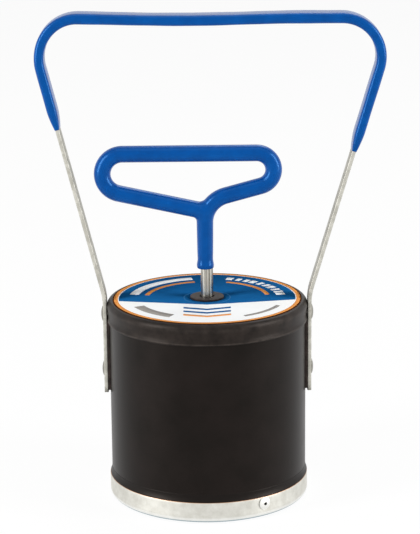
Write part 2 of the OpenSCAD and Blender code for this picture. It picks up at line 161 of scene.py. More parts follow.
pan_r = corners("bottom_pan")[1].x
pan_h = corners("bottom_pan")[1].z
pan_in_r = pan_r - PAN_SHEET
pan_fold_in_r = PAN_FOLD_R - PAN_SHEET
pan_profile = (
    [(0, PAN_SHEET), (pan_r / 2, PAN_SHEET)]
    + arc(pan_in_r - pan_fold_in_r, PAN_FOLD_R, pan_fold_in_r, -90, 0, 5)
    + arc(pan_in_r + PAN_RIM_R, pan_h - PAN_RIM_R, PAN_RIM_R, 180, 90, 4)
    + arc(pan_r - PAN_RIM_R, pan_h - PAN_RIM_R, PAN_RIM_R, 90, 0, 4)
    + [(pan_r, pan_h + (PAN_FOLD_R - pan_h) * i / WALL_STEPS) for i in range(1, WALL_STEPS)]
    + arc(pan_r - PAN_FOLD_R, PAN_FOLD_R, PAN_FOLD_R, 0, -90, 8)
    + [(pan_r / 2, 0), (0, 0)]
)


def pressed(r, z, angle):
    """Slight dents in the outer wall."""
    if r < pan_in_r + PAN_RIM_R or z < PAN_FOLD_R:
        return r, z
    dent = PAN_DENT + waves(angle, PAN_WAVES)
    return r - dent * min(1, (z - PAN_FOLD_R) / DENT_RISE), z


# Zinc-coated sheet: a pale, slightly warm metal with faint patches. A painted highlight brightens the fold,
# with a painted bluish shade under it, and the cut edge at the rim is brown
pan_sheet, tree, bsdf = start_material("zinc_coated_sheet")
place = add(tree, "TexCoord", {}).outputs["Object"]
smear = add(tree, "TexNoise", {"Vector": place, "Scale": 1 / (7 * MM), "Detail": 8.0, "Roughness": 0.72})
contrast = add(tree, "MapRange", {"Value": smear, "From Min": 0.3, "From Max": 0.7})
sheet_colour = add(
    tree, "Mix", {"Factor": contrast, "A": linear("#c4c2b9"), "B": linear("#dddcd5")}, data_type="RGBA")
height = add(tree, "SeparateXYZ", {"Vector": place}).outputs["Z"]
# Painted highlight along the fold round the floor
fold_highlight = add(tree, "MapRange", {
    "Value": height, "From Min": FOLD_HIGHLIGHT_FROM * MM, "From Max": FOLD_HIGHLIGHT_TO * MM, "To Max": 0.6})
fold_highlight_colour = add(
    tree, "Mix", {"Factor": fold_highlight, "A": sheet_colour, "B": linear("#f6f7f5")}, data_type="RGBA")
# Painted bluish shade under the fold, along the bottom edge
under = add(tree, "MapRange", {"Value": height, "From Min": UNDER_SHADE_FROM * MM, "From Max": UNDER_SHADE_TO * MM})
under_shade_colour = add(
    tree, "Mix", {"Factor": under, "A": fold_highlight_colour, "B": linear("#8fa4ad")}, data_type="RGBA")
cut_edge = add(tree, "MapRange", {
    "Value": height, "From Min": (pan_h - PAN_RIM_R) * MM, "From Max": (pan_h - PAN_RIM_R / 2) * MM})
pan_colour = add(
    tree, "Mix", {"Factor": cut_edge, "A": under_shade_colour, "B": linear("#b98d6c")}, data_type="RGBA")
grit = add(tree, "TexNoise", {"Vector": place, "Scale": 1 / (0.9 * MM), "Detail": 3.0})
rough = add(tree, "MapRange", {"Value": smear, "To Min": 0.34, "To Max": 0.56})
relief = add(tree, "Bump", {"Height": grit, "Strength": 0.25, "Distance": 0.05 * MM})
fill(tree, bsdf, {"Base Color": pan_colour, "Metallic": 1.0, "Roughness": rough, "Normal": relief})
pan = new_piece("pan", *turned(pan_profile, pressed), "can", "pan_metal", pan_sheet)
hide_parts("bottom_pan")

# Can tube
# A length of black plastic pipe, extruded and sawn off. It is satin, with fine streaks along its length and
# faint scuffs from handling.


def finish_node(name, material):
    """Give a node of the frame its material."""
    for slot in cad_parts[name].material_slots:
        slot.material = material


# Extruded black plastic: near black, with a soft sheen that its streaks break up
tube_plastic, tree, bsdf = start_material("extruded_black_plastic")
place = add(tree, "TexCoord", {}).outputs["Object"]
along = add(tree, "Mapping", {"Vector": place, "Scale": (1, 1, 0.06)})
streaks = add(tree, "TexNoise", {"Vector": along, "Scale": 1 / (2.2 * MM), "Detail": 4.0})
scuffs = add(tree, "TexNoise", {"Vector": place, "Scale": 1 / (24 * MM), "Detail": 7.0, "Roughness": 0.62})
contrast = add(tree, "MapRange", {"Value": scuffs, "From Min": 0.32, "From Max": 0.7})
tube_colour = add(
    tree, "Mix", {"Factor": contrast, "A": linear("#070504"), "B": linear("#130e0d")}, data_type="RGBA")
rough = add(tree, "MapRange", {"Value": scuffs, "To Min": 0.28, "To Max": 0.42})
relief = add(tree, "Bump", {"Height": streaks, "Strength": 0.12, "Distance": 0.04 * MM})
fill(tree, bsdf, {
    "Base Color": tube_colour,
    "Roughness": rough,
    "Specular IOR Level": 0.16,
    "Specular Tint": linear("#fff0e6"),
    "Normal": relief,
})
finish_node("can_tube", tube_plastic)

# Pan seal
# A fillet of black sealant run round the tube where it enters the pan. It was smoothed with a fingertip, so
# it is hollow and runs out along the tube.
# How far the seal stays inside the pan's rim, how hollow it is and how thin it runs out
SEAL_RIM = 0.15
SEAL_HOLLOW = 2.4
SEAL_FEATHER = 0.02
SEAL_STEPS = 12

seal_low, seal_high = corners("pan_seal")
tube_r = corners("can_tube")[1].x
seal_w = pan_r - PAN_DENT - SEAL_RIM - tube_r
seal_h = seal_high.z - seal_low.z
seal_heights = [i / SEAL_STEPS for i in range(SEAL_STEPS + 1)]
seal_profile = (
    [(tube_r, pan_h - PAN_RIM_R / 2)]
    + [(tube_r + seal_w * (1 - t) ** SEAL_HOLLOW + SEAL_FEATHER, pan_h + seal_h * t) for t in seal_heights]
    + [(tube_r, pan_h + seal_h)]
)

# Cured sealant: black and smooth, like the tube but wiped a little uneven
sealant, tree, bsdf = start_material("black_sealant")
place = add(tree, "TexCoord", {}).outputs["Object"]
ripple = add(tree, "TexNoise", {"Vector": place, "Scale": 1 / (5 * MM), "Detail": 3.0})
seal_colour = add(
    tree, "Mix", {"Factor": ripple, "A": linear("#070505"), "B": linear("#0f0c0b")}, data_type="RGBA")
rough = add(tree, "MapRange", {"Value": ripple, "To Min": 0.36, "To Max": 0.5})
relief = add(tree, "Bump", {"Height": ripple, "Strength": 0.2, "Distance": 0.12 * MM})
fill(tree, bsdf, {
    "Base Color": seal_colour,
    "Roughness": rough,
    "Specular IOR Level": 0.16,
    "Specular Tint": linear("#fff0e6"),
    "Normal": relief,
})
seal = new_piece("seal", *turned(seal_profile), "can", "sealant", sealant)
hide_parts("pan_seal")

# Blind rivets
# Aluminium rivets pulled up on a steel stem: two through the pan, two through each leg of the carry handle.
# The stem breaks off inside the hole in the head. A dark disc in that hole in the pan's rivets is painted
# shade, and washers back the strap's rivets inside the tube.
PAN_RIVET_ANGLE = radians(33)
PAN_RIVET_BORE_R = 1.1
# The dark discs of painted shade in the pan rivets' holes: how far out they sit, their thickness and sides
SHADE_DISC_RISE = 0.85
SHADE_DISC_T = 0.5
SHADE_DISC_SIDES = 24

# Plain aluminium: pale, with the faint marks of the setting tool. The strap's rivets get a darker copy,
# painted shade
for metal, dark, light, nodes in [
    ("bright_aluminium", "#dcdbd6", "#f8f8f5", ["pan_rivets"]),
    ("shaded_aluminium", "#74716a", "#a9a69e", ["upper_strap_rivets", "lower_strap_rivets"]),
]:
    rivet_metal, tree, bsdf = start_material(metal)
    place = add(tree, "TexCoord", {}).outputs["Object"]
    marks = add(tree, "TexNoise", {"Vector": place, "Scale": 1 / (1.6 * MM), "Detail": 4.0})
    rivet_colour = add(
        tree, "Mix", {"Factor": marks, "A": linear(dark), "B": linear(light)}, data_type="RGBA")
    rough = add(tree, "MapRange", {"Value": marks, "To Min": 0.34, "To Max": 0.56})
    relief = add(tree, "Bump", {"Height": marks, "Strength": 0.15, "Distance": 0.05 * MM})
    fill(tree, bsdf, {"Base Color": rivet_colour, "Metallic": 1.0, "Roughness": rough, "Normal": relief})
    for name in nodes:
        finish_node(name, rivet_metal)

# Broken steel stem: painted dark and matt, as shade in the rivets' holes, with a torn end
stem_steel, tree, bsdf = start_material("torn_steel_stem")
place = add(tree, "TexCoord", {}).outputs["Object"]
tear = add(tree, "TexNoise", {"Vector": place, "Scale": 1 / (0.5 * MM), "Detail": 3.0})
stem_colour = add(
    tree, "Mix", {"Factor": tear, "A": linear("#0d0d0c"), "B": linear("#2c2b29")}, data_type="RGBA")
fill(tree, bsdf, {"Base Color": stem_colour, "Roughness": 0.7, "Specular IOR Level": 0.1})
for name in ("pan_rivet_mandrels", "strap_rivet_mandrels"):
    finish_node(name, stem_steel)

pan_rivet_z = sum(corner.z for corner in corners("pan_rivets")) / 2
# A dark disc in the bore of each of the pan's rivets, painted shade in the hole
plugs = bmesh.new()
for angle in (PAN_RIVET_ANGLE, PAN_RIVET_ANGLE + pi):
    outward = Vector((*spot(1, angle), 0))
    at = Matrix.Translation(outward * (pan_r + SHADE_DISC_RISE) + Vector((0, 0, pan_rivet_z)))
    bmesh.ops.create_cone(
        plugs,
        cap_ends=True,
        segments=SHADE_DISC_SIDES,
        radius1=PAN_RIVET_BORE_R,
        radius2=PAN_RIVET_BORE_R,
        depth=SHADE_DISC_T,
        matrix=at @ outward.to_track_quat("Z", "Y").to_matrix().to_4x4(),
    )
shade_disc_points = [vertex.co for vertex in plugs.verts]
shade_disc_faces = [[vertex.index for vertex in face.verts] for face in plugs.faces]
new_piece("pan_rivet_shade_disc", shade_disc_points, shade_disc_faces, "can", "mandrel_steel", stem_steel)
plugs.free()

# Bright zinc plate: a cool grey metal with a slightly cloudy shine
zinc_plate, tree, bsdf = start_material("bright_zinc_plate")
place = add(tree, "TexCoord", {}).outputs["Object"]
cloud = add(tree, "TexNoise", {"Vector": place, "Scale": 1 / (4 * MM), "Detail": 4.0})
zinc_colour = add(
    tree, "Mix", {"Factor": cloud, "A": linear("#a8aaab"), "B": linear("#cfd0cf")}, data_type="RGBA")
rough = add(tree, "MapRange", {"Value": cloud, "To Min": 0.22, "To Max": 0.4})
fill(tree, bsdf, {"Base Color": zinc_colour, "Metallic": 1.0, "Roughness": rough})
finish_node("backing_washers", zinc_plate)

# Magnet and back plate
# A fired ferrite ring, bonded under a plain steel plate in which the rod turns. Both stay out of sight in
# the can.

# Ferrite: a dark grey ceramic with a fine ground grain
ferrite, tree, bsdf = start_material("ground_ferrite")
place = add(tree, "TexCoord", {}).outputs["Object"]
grain = add(tree, "TexNoise", {"Vector": place, "Scale": 1 / (1.2 * MM), "Detail": 5.0})
ferrite_colour = add(
    tree, "Mix", {"Factor": grain, "A": linear("#2e2d30"), "B": linear("#454447")}, data_type="RGBA")
relief = add(tree, "Bump", {"Height": grain, "Strength": 0.3, "Distance": 0.05 * MM})
fill(tree, bsdf, {"Base Color": ferrite_colour, "Roughness": 0.62, "Normal": relief})
finish_node("ring_magnet", ferrite)

# Rolled steel plate: a brownish grey metal with mill scale left in patches
plate_steel, tree, bsdf = start_material("rolled_steel_plate")
place = add(tree, "TexCoord", {}).outputs["Object"]
mill_scale = add(tree, "TexNoise", {"Vector": place, "Scale": 1 / (14 * MM), "Detail": 6.0})
plate_colour = add(
    tree, "Mix", {"Factor": mill_scale, "A": linear("#6c6a68"), "B": linear("#9a9895")}, data_type="RGBA")
rough = add(tree, "MapRange", {"Value": mill_scale, "To Min": 0.35, "To Max": 0.6})
fill(tree, bsdf, {"Base Color": plate_colour, "Metallic": 1.0, "Roughness": rough})
finish_node("back_plate", plate_steel)

# Lift rod and its fasteners
# A bright drawn steel rod, bent into a loop at the top and welded to itself. Its lower end is threaded, and
# two nuts with washers hold the plate on it.

# Drawn steel: a bright metal with lines along its length from the die. The lines are drawn over a
# millimetre apart, coarser than they are, so that they show, and their dark and light bands along the
# rod are partly painted reflection
rod_steel, tree, bsdf = start_material("drawn_steel")
place = add(tree, "TexCoord", {}).outputs["Object"]
along = add(tree, "Mapping", {"Vector": place, "Scale": (1, 1, 0.015)})
die_lines_and_sheen = add(tree, "TexNoise", {"Vector": along, "Scale": 1 / (1.6 * MM), "Detail": 3.0, "Roughness": 0.6})
contrast = add(tree, "MapRange", {"Value": die_lines_and_sheen, "From Min": 0.36, "From Max": 0.62})
rod_colour = add(
    tree, "Mix", {"Factor": contrast, "A": linear("#68655b"), "B": linear("#cbc9c0")}, data_type="RGBA")
stain = add(tree, "TexNoise", {"Vector": place, "Scale": 1 / (6 * MM), "Detail": 5.0})
rough = add(tree, "MapRange", {"Value": stain, "To Min": 0.2, "To Max": 0.36})
relief = add(tree, "Bump", {"Height": die_lines_and_sheen, "Strength": 0.3, "Distance": 0.05 * MM})
fill(tree, bsdf, {"Base Color": rod_colour, "Metallic": 1.0, "Roughness": rough, "Normal": relief})
finish_node("lift_rod", rod_steel)
for name in ("upper_nut", "upper_washer", "lower_washer", "lock_nut"):
    finish_node(name, zinc_plate)

# Nylon: a coloured plastic with a waxy look
nylon, tree, bsdf = start_material("coloured_nylon")
place = add(tree, "TexCoord", {}).outputs["Object"]
wax = add(tree, "TexNoise", {"Vector": place, "Scale": 1 / (3 * MM), "Detail": 2.0})
nylon_colour = add(
    tree, "Mix", {"Factor": wax, "A": linear("#35639f"), "B": linear("#4a7bbd")}, data_type="RGBA")
fill(tree, bsdf, {"Base Color": nylon_colour, "Roughness": 0.42, "Subsurface Weight": 0.05})
finish_node("lock_nut_ring", nylon)

# Top cap
# A soft vinyl cap, dip-moulded and pushed over the tube's upper end. Its skirt hangs a little unevenly, its
# lower edge is thickened into a small lip, and a faint mould seam runs down its front.
CAP_SKIRT = 1.2
CAP_TOP = 1.8
CAP_SHOULDER_R = 3.5
CAP_CORNER_R = 1.0
CAP_HOLE_R = 8.1
LIP_R = 0.6
# An outer ring of points on the flat top, as a share of the cap's radius
FLAT_RING = 0.85
# The hollow above the lip, as heights over the skirt's edge and depths
SKIRT_HOLLOW = [(1.6, 0.125), (2.6, 0.425), (4, 0.5), (6, 0.4), (8, 0.15)]
# The skirt's dents and sag, which grow over this run below the shoulder. The waves are given as the pan's
SKIRT_DENT = 0.1
SAG_RUN = 8.0
SAG_WAVES = [(0.16, 4, 0.3), (0.1, 9, 1.7), (0.06, 17, 0.5)]
SKIRT_WAVES = [(0.05, 6, 1.2), (0.05, 13, 2.6)]
# Thickness of the skirt's inner skin, which stays plain
INNER_SKIN = 0.1
SEAM_ANGLE = radians(4)
SEAM_W = radians(0.8)
SEAM_H = 0.25

cap_low, cap_high = corners("top_cap")
cap_r = cap_high.x
cap_in_r = cap_r - CAP_SKIRT
cap_z = cap_high.z
skirt_z = cap_low.z
cap_under_z = cap_z - CAP_TOP
cap_profile = (
    [(CAP_HOLE_R, cap_under_z), (cap_r / 2, cap_under_z)]
    + arc(cap_in_r - CAP_CORNER_R, cap_under_z - CAP_CORNER_R, CAP_CORNER_R, 90, 0, 4)
    + [(cap_in_r, skirt_z + LIP_R)]
    + arc(cap_r - LIP_R, skirt_z + LIP_R, LIP_R, 180, 360, 8)
    + [(cap_r - depth, skirt_z + rise) for rise, depth in SKIRT_HOLLOW]
    + arc(cap_r - CAP_SHOULDER_R, cap_z - CAP_SHOULDER_R, CAP_SHOULDER_R, 0, 90, 10)
    + [(cap_r * FLAT_RING, cap_z), (cap_r / 2, cap_z), (CAP_HOLE_R, cap_z)]
)


def hung(r, z, angle):
    """The skirt's sag, its slight waves and its seam, which die out at the shoulder."""
    if r < cap_in_r + INNER_SKIN:
        return r, z
    drop = min(1, max(0, (cap_z - CAP_SHOULDER_R - z) / SAG_RUN))
    sag = waves(angle, SAG_WAVES)
    dent = SKIRT_DENT + waves(angle, SKIRT_WAVES)
    seam = SEAM_H * max(0, 1 - abs(angle - SEAM_ANGLE) / SEAM_W)
    return r - (dent - seam) * drop, z + sag * drop * drop


# Soft vinyl: black with a warm cast, paler in random patches, and a fine skin texture. Broken rings of
# painted highlight run along the shoulder and on the upper side of the lip
cap_vinyl, tree, bsdf = start_material("soft_black_vinyl")
place = add(tree, "TexCoord", {}).outputs["Object"]
rub = add(tree, "TexNoise", {"Vector": place, "Scale": 1 / (9 * MM), "Detail": 8.0, "Roughness": 0.68})
contrast = add(tree, "MapRange", {"Value": rub, "From Min": 0.36, "From Max": 0.72})
skin_colour = add(
    tree, "Mix", {"Factor": contrast, "A": linear("#0d0a09"), "B": linear("#28221f")}, data_type="RGBA")
height = add(tree, "SeparateXYZ", {"Vector": place}).outputs["Z"]
# Broken rings of painted highlight, on the upper side of the lip and along the shoulder
cap_share = add(tree, "MapRange", {"Value": height, "From Min": skirt_z * MM, "From Max": cap_z * MM})
highlight_rings = add(tree, "ValToRGB", {"Fac": cap_share})
highlight_ramp = highlight_rings.color_ramp
highlight_ramp.elements[0].color = linear("#000000")
highlight_ramp.elements[1].color = linear("#000000")
for z, grey in [
    (skirt_z + 0.4, "#000000"),
    (skirt_z + 0.9, "#d0d0d0"),
    (skirt_z + 1.6, "#000000"),
    (cap_z - 5.6, "#000000"),
    (cap_z - 3.6, "#7c7c7c"),
    (cap_z - 2.0, "#000000"),
]:
    highlight_ramp.elements.new((z - skirt_z) / (cap_z - skirt_z)).color = linear(grey)
broken = add(tree, "MapRange", {"Value": rub, "From Min": 0.3, "From Max": 0.65, "To Max": 0.8})
wear_and_sheen = add(tree, "Math", {0: highlight_rings, 1: broken}, operation="MULTIPLY")
cap_colour = add(
    tree, "Mix", {"Factor": wear_and_sheen, "A": skin_colour, "B": linear("#57504b")}, data_type="RGBA")
skin_grain = add(tree, "TexNoise", {"Vector": place, "Scale": 1 / (1.1 * MM), "Detail": 3.0})
rough = add(tree, "MapRange", {"Value": rub, "To Min": 0.34, "To Max": 0.52})
relief = add(tree, "Bump", {"Height": skin_grain, "Strength": 0.25, "Distance": 0.06 * MM})
fill(tree, bsdf, {
    "Base Color": cap_colour,
    "Roughness": rough,
    "Specular IOR Level": 0.18,
    "Specular Tint": linear("#fff0e6"),
    "Normal": relief,
})
cap = new_piece("cap", *turned(cap_profile, hung), "can", "cap_vinyl", cap_vinyl)
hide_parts("top_cap")

# Top label
# A disc of white film, stuck on the cap round the rod and screen-printed in flat inks: an orange rim with a
# brown edge, a blue field with stripes and ticks, and chevrons and grey stripes on the white front.
INK_T = 0.05
LABEL_HOLE_R = 9.0
RIM_W = 2.5
RIM_EDGE_W = 0.8
EDGE_INK = 0.05
RIM_LINE = 0.6
FINE_STEPS = 720
# The blue field's front edge: its distance from the rod and its slope to each side
FIELD_FRONT = 17.0
FIELD_SLOPE = 0.18
# Inner and outer radius of the stripes, and their first and last angle in degrees from the front
FIELD_LINE = (14.6, 15.2)
ORANGE_STRIPE = (38, 41)
WHITE_STRIPE = (45, 51)
BROAD_GREY = (44, 51)
NARROW_GREY = (48, 51)
LEFT_SPAN = (-168, -100)
RIGHT_SPAN = (98, 161)
GREY_LEFT_SPAN = (-66, -28)
GREY_RIGHT_SPAN = (28, 66)
# The ticks' angles in degrees. Every third one is wider
TICK_FIRST = 98
TICK_PITCH = 7
TICK_COUNT = 10
TICK_HALF = 2
TICK_WIDE = 3.4
TICK_GROUP = 3
BLUE_TIPS = (-30, -38)
ORANGE_TIP = -46
CHEVRON_HALF_W = 15
CHEVRON_RISE = 4.5
CHEVRON_STROKE = 3.4

label_r = corners("top_label")[1].x
film_z = corners("top_label")[1].z
field_z = film_z + INK_T
rim_out_r = label_r - RIM_EDGE_W
rim_in_r = rim_out_r - RIM_W
field_r = rim_in_r - RIM_LINE
fine_angles = [2 * pi * i / FINE_STEPS for i in range(FINE_STEPS)]


def ribbon(left, right, foot_z, closed=False, t=INK_T):
    """Points and faces of a thin layer between two edges of (x, y) points."""
    n = len(left)
    points = [(x, y, z) for z in (foot_z, foot_z + t) for edge in (left, right) for x, y in edge]
    faces = []
    for i in range(n if closed else n - 1):
        j = (i + 1) % n
        faces += [(i, j, n + j, n + i), (2 * n + i, 3 * n + i, 3 * n + j, 2 * n + j)]
        faces += [(i, 2 * n + i, 2 * n + j, j), (n + i, n + j, 3 * n + j, 3 * n + i)]
    if not closed:
        faces += [(i, n + i, 3 * n + i, 2 * n + i) for i in (0, n - 1)]
    return points, faces


def ring_ink(radii, foot_z, t=INK_T):
    """A whole ring of ink."""
    inner, outer = [[spot(r, a) for a in fine_angles] for r in radii]
    return ribbon(inner, outer, foot_z, True, t)


def stripe_ink(radii, span, foot_z):
    """Part of a ring of ink."""
    start, end = span
    n = ceil(abs(end - start))
    angles = [radians(start + (end - start) * i / n) for i in range(n + 1)]
    inner, outer = [[spot(r, a) for a in angles] for r in radii]
    return ribbon(inner, outer, foot_z)


def chevron_ink(tip):
    """A chevron on the film that points to the front."""
    front = [(-CHEVRON_HALF_W, tip + CHEVRON_RISE), (0, tip), (CHEVRON_HALF_W, tip + CHEVRON_RISE)]
    return ribbon(front, [(x, y + CHEVRON_STROKE) for x, y in front], film_z)


def joined(layers):
    """Several meshes as one."""
    points, faces = [], []
    for layer_points, layer_faces in layers:
        start = len(points)
        points += layer_points
        faces += [tuple(start + i for i in face) for face in layer_faces]
    return points, faces


# White film: matt and clean, with a slight tone where hands rub it
film, tree, bsdf = start_material("white_print_film")
place = add(tree, "TexCoord", {}).outputs["Object"]
wear_and_sheen = add(tree, "TexNoise", {"Vector": place, "Scale": 1 / (9 * MM), "Detail": 6.0})
film_colour = add(
    tree, "Mix", {"Factor": wear_and_sheen, "A": linear("#f7f8f5"), "B": linear("#fdfdfb")}, data_type="RGBA")
rough = add(tree, "MapRange", {"Value": wear_and_sheen, "To Min": 0.5, "To Max": 0.66})
fill(tree, bsdf, {"Base Color": film_colour, "Roughness": rough, "Specular IOR Level": 0.0})
finish_node("top_label", film)

# The blue field ends to the front in a shallow point
field_edge = []
for angle in fine_angles:
    facing = cos(angle) + FIELD_SLOPE * abs(sin(angle))
    field_edge.append(spot(min(field_r, FIELD_FRONT / facing) if facing > 0 else field_r, angle))
blue_field = ribbon([spot(LABEL_HOLE_R, a) for a in fine_angles], field_edge, film_z, closed=True)

ticks = []
for i in range(TICK_COUNT):
    middle = TICK_FIRST + TICK_PITCH * i
    tick_span = (middle - TICK_HALF, middle + (TICK_HALF if i % TICK_GROUP else TICK_WIDE))
    ticks.append(stripe_ink(WHITE_STRIPE, tick_span, field_z))

inks = [
    ("blue", "#155890", "#1a6099", [
        blue_field,
        *[chevron_ink(tip) for tip in BLUE_TIPS],
    ]),
    ("orange", "#e09048", "#e99f5a", [
        ring_ink((rim_in_r, rim_out_r), film_z),
        chevron_ink(ORANGE_TIP),
        stripe_ink(ORANGE_STRIPE, LEFT_SPAN, field_z),
        stripe_ink(ORANGE_STRIPE, RIGHT_SPAN, field_z),
    ]),
    ("brown", "#3c1f0e", "#5a3015", [
        ring_ink((rim_out_r, label_r + EDGE_INK), cap_z, film_z + INK_T - cap_z),
    ]),
    ("white", "#eceeee", "#f7f8f7", [
        stripe_ink(WHITE_STRIPE, LEFT_SPAN, field_z),
        *ticks,
    ]),
    ("pale_blue", "#2c6699", "#3a74a5", [
        ring_ink(FIELD_LINE, field_z),
    ]),
    ("grey", "#8f8a84", "#a39e97", [
        stripe_ink(BROAD_GREY, GREY_LEFT_SPAN, film_z),
        stripe_ink(NARROW_GREY, GREY_RIGHT_SPAN, film_z),
    ]),
]
# Screen ink: flat and matt, with faint clouds from the squeegee
for ink, dark, light, layers in inks:
    ink_film, tree, bsdf = start_material(ink + "_screen_ink")
    place = add(tree, "TexCoord", {}).outputs["Object"]
    cloud = add(tree, "TexNoise", {"Vector": place, "Scale": 1 / (6 * MM), "Detail": 5.0})
    ink_colour = add(
        tree, "Mix", {"Factor": cloud, "A": linear(dark), "B": linear(light)}, data_type="RGBA")
    rough = add(tree, "MapRange", {"Value": cloud, "To Min": 0.5, "To Max": 0.66})
    fill(tree, bsdf, {"Base Color": ink_colour, "Roughness": rough, "Specular IOR Level": 0.0})
    new_piece("label_" + ink, *joined(layers), "can", "label_print", ink_film)

# Rubber pieces
# Moulded black rubber: the grommet that guides the rod through the cap and clamps the label, the strips
# behind the carry handle's legs, and the bump stop on the rod.
GROMMET_FLANGE = 1.8
GROMMET_RISE = 1.3
GROMMET_RIM_R = 0.4
GROMMET_LIP = 2.8
GROMMET_MOUTH_R = 4.65
MOUTH_DEPTH = 1.6
SLIDE_R = 4.05

grommet_low, grommet_high = corners("rod_grommet")
flange_r = grommet_high.x
neck_r = flange_r - GROMMET_LIP
flange_z = grommet_low.z + GROMMET_FLANGE
grommet_top_z = field_z + GROMMET_RISE
mouth_z = grommet_top_z - MOUTH_DEPTH
grommet_profile = (
    arc(flange_r - GROMMET_RIM_R, grommet_low.z + GROMMET_RIM_R, GROMMET_RIM_R, -90, 0, 5)
    + [(flange_r, flange_z), (neck_r, flange_z), (neck_r, field_z), (flange_r, field_z)]
    + arc(flange_r - GROMMET_RIM_R, grommet_top_z - GROMMET_RIM_R, GROMMET_RIM_R, 0, 90, 5)
    + arc(GROMMET_MOUTH_R + GROMMET_RIM_R, grommet_top_z - GROMMET_RIM_R, GROMMET_RIM_R, 90, 180, 4)
    + [(GROMMET_MOUTH_R, mouth_z), (SLIDE_R, mouth_z), (SLIDE_R, grommet_low.z)]
)

# Moulded rubber: black and matt, with a greyish bloom
rubber, tree, bsdf = start_material("moulded_black_rubber")
place = add(tree, "TexCoord", {}).outputs["Object"]
bloom = add(tree, "TexNoise", {"Vector": place, "Scale": 1 / (5 * MM), "Detail": 6.0})
contrast = add(tree, "MapRange", {"Value": bloom, "From Min": 0.32, "From Max": 0.68})
rubber_colour = add(
    tree, "Mix", {"Factor": contrast, "A": linear("#171312"), "B": linear("#3d312d")}, data_type="RGBA")
rough = add(tree, "MapRange", {"Value": bloom, "To Min": 0.5, "To Max": 0.72})
relief = add(tree, "Bump", {"Height": bloom, "Strength": 0.2, "Distance": 0.1 * MM})
fill(tree, bsdf, {
    "Base Color": rubber_colour,
    "Roughness": rough,
    "Specular IOR Level": 0.2,
    "Normal": relief,
})
grommet = new_piece("grommet", *turned(grommet_profile), "can", "black_rubber", rubber)
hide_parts("rod_grommet")
for name in ("strap_pads", "bump_stop"):
    finish_node(name, rubber)

# Carry handle
# A flat bar, hot-dip galvanised, bent to a wide bail and riveted to the can by both ends. The bail is
# pushed a little to the right, which lifts its left side, and its bar sags in the middle.
STRAP_T = 2.4
STRAP_W = 12.7
STRAP_GAP = 0.05
STRAP_END_R = 18.0
STRAP_EDGE_R = 0.35
STRAP_STEP = 6.0
END_CUTS = 8
# The first cut of a rounded end, as a share of a step
END_START = 0.6
# The legs' outward lean in degrees, and what the right leg leans more and the left leg less
LEAN = 15.3
SET_ANGLE = 1.3
# The feet bend outwards at this height over the tube's top
FOOT_RISE = -0.8
FOOT_R = 40.0
CORNER_R = 24.7
HANDLE_RISE = 183.0
# The lift of the left side fades out over this height below the bar
BAIL_LIFT = 1.3
LIFT_FROM = 40.0
BAR_SAG = 1.3
SAG_X = -14.0
SAG_REACH = 75.0
# Degrees of a bend between two sections
BEND_STEP = 3.0


def ahead(place, run):
    """The place reached by a straight run. A place is x, z and a heading from +X towards +Z."""
    x, z, heading = place
    return x + run * cos(radians(heading)), z + run * sin(radians(heading)), heading


def around(place, turn, bend_r):
    """The place reached by a bend, with left turns positive."""
    x, z, heading = place
    side = 1 if turn > 0 else -1
    after = heading + turn
    return (
        x + side * bend_r * (sin(radians(after)) - sin(radians(heading))),
        z - side * bend_r * (cos(radians(after)) - cos(radians(heading))),
        after,
    )


def bent(place, steps, spacing, bend_step=BEND_STEP):
    """Places along a bent bar. Each step is a straight run, the turn after it and the turn's radius."""
    places = []
    for run, turn, bend_r in steps:
        n = max(1, ceil(run / spacing))
        places += [ahead(place, run * i / n) for i in range(n)]
        place = ahead(place, run)
        if turn:
            n = ceil(abs(turn) / bend_step)
            places += [around(place, turn * i / n, bend_r) for i in range(n)]
            place = around(place, turn, bend_r)
    return places + [place]


def flat_section(t, w, edge_r, steps):
    """Section of a flat bar with rounded edges, as (out, along Y)."""
    points = []
    for side, end, start in [(1, 1, 0), (-1, 1, 90), (-1, -1, 180), (1, -1, 270)]:
        points += arc(side * (t / 2 - edge_r), end * (w / 2 - edge_r), edge_r, start, start + 90, steps)
    return points


def swept(places, sections):
    """Points and faces of a bar with one section at each place, closed at both ends."""
    n = len(sections[0])
    points = []
    for (x, z, heading), section in zip(places, sections):
        s, c = sin(radians(heading)), cos(radians(heading))
        points += [(x - out * s, y, z + out * c) for out, y in section]
    faces = []
    for i in range(len(places) - 1):
        a, b = i * n, (i + 1) * n
        faces += [(a + j, a + (j + 1) % n, b + (j + 1) % n, b + j) for j in range(n)]
    faces.append(tuple(reversed(range(n))))
    faces.append(tuple(range(len(points) - n, len(points))))
    return points, faces


tube_top_z = corners("can_tube")[1].z
strap_foot_z = corners("carry_strap")[0].z
strap_x = cap_r + STRAP_GAP + STRAP_T / 2
foot_bend_z = tube_top_z + FOOT_RISE
foot_run = foot_bend_z - strap_foot_z
bar_z = tube_top_z + HANDLE_RISE
left_lean = LEAN - SET_ANGLE
right_lean = LEAN + SET_ANGLE


def leg(lean):
    """A leg's straight run and its upper end, as if it were the left one."""
    start = around((-strap_x, foot_bend_z, 90), lean, FOOT_R)
    run = (bar_z - around(start, -start[2], CORNER_R)[1]) / cos(radians(lean))
    return run, ahead(start, run)


def eased(share):
    """A smooth step from 0 to 1."""
    share = min(1, max(0, share))
    return share * share * (3 - 2 * share)


left_run, left_end = leg(left_lean)
right_run, right_end = leg(right_lean)
bar_left = around(left_end, -left_end[2], CORNER_R)[0] - CORNER_R
bar_right = CORNER_R - around(right_end, -right_end[2], CORNER_R)[0]
bar_run = bar_right - bar_left - 2 * CORNER_R


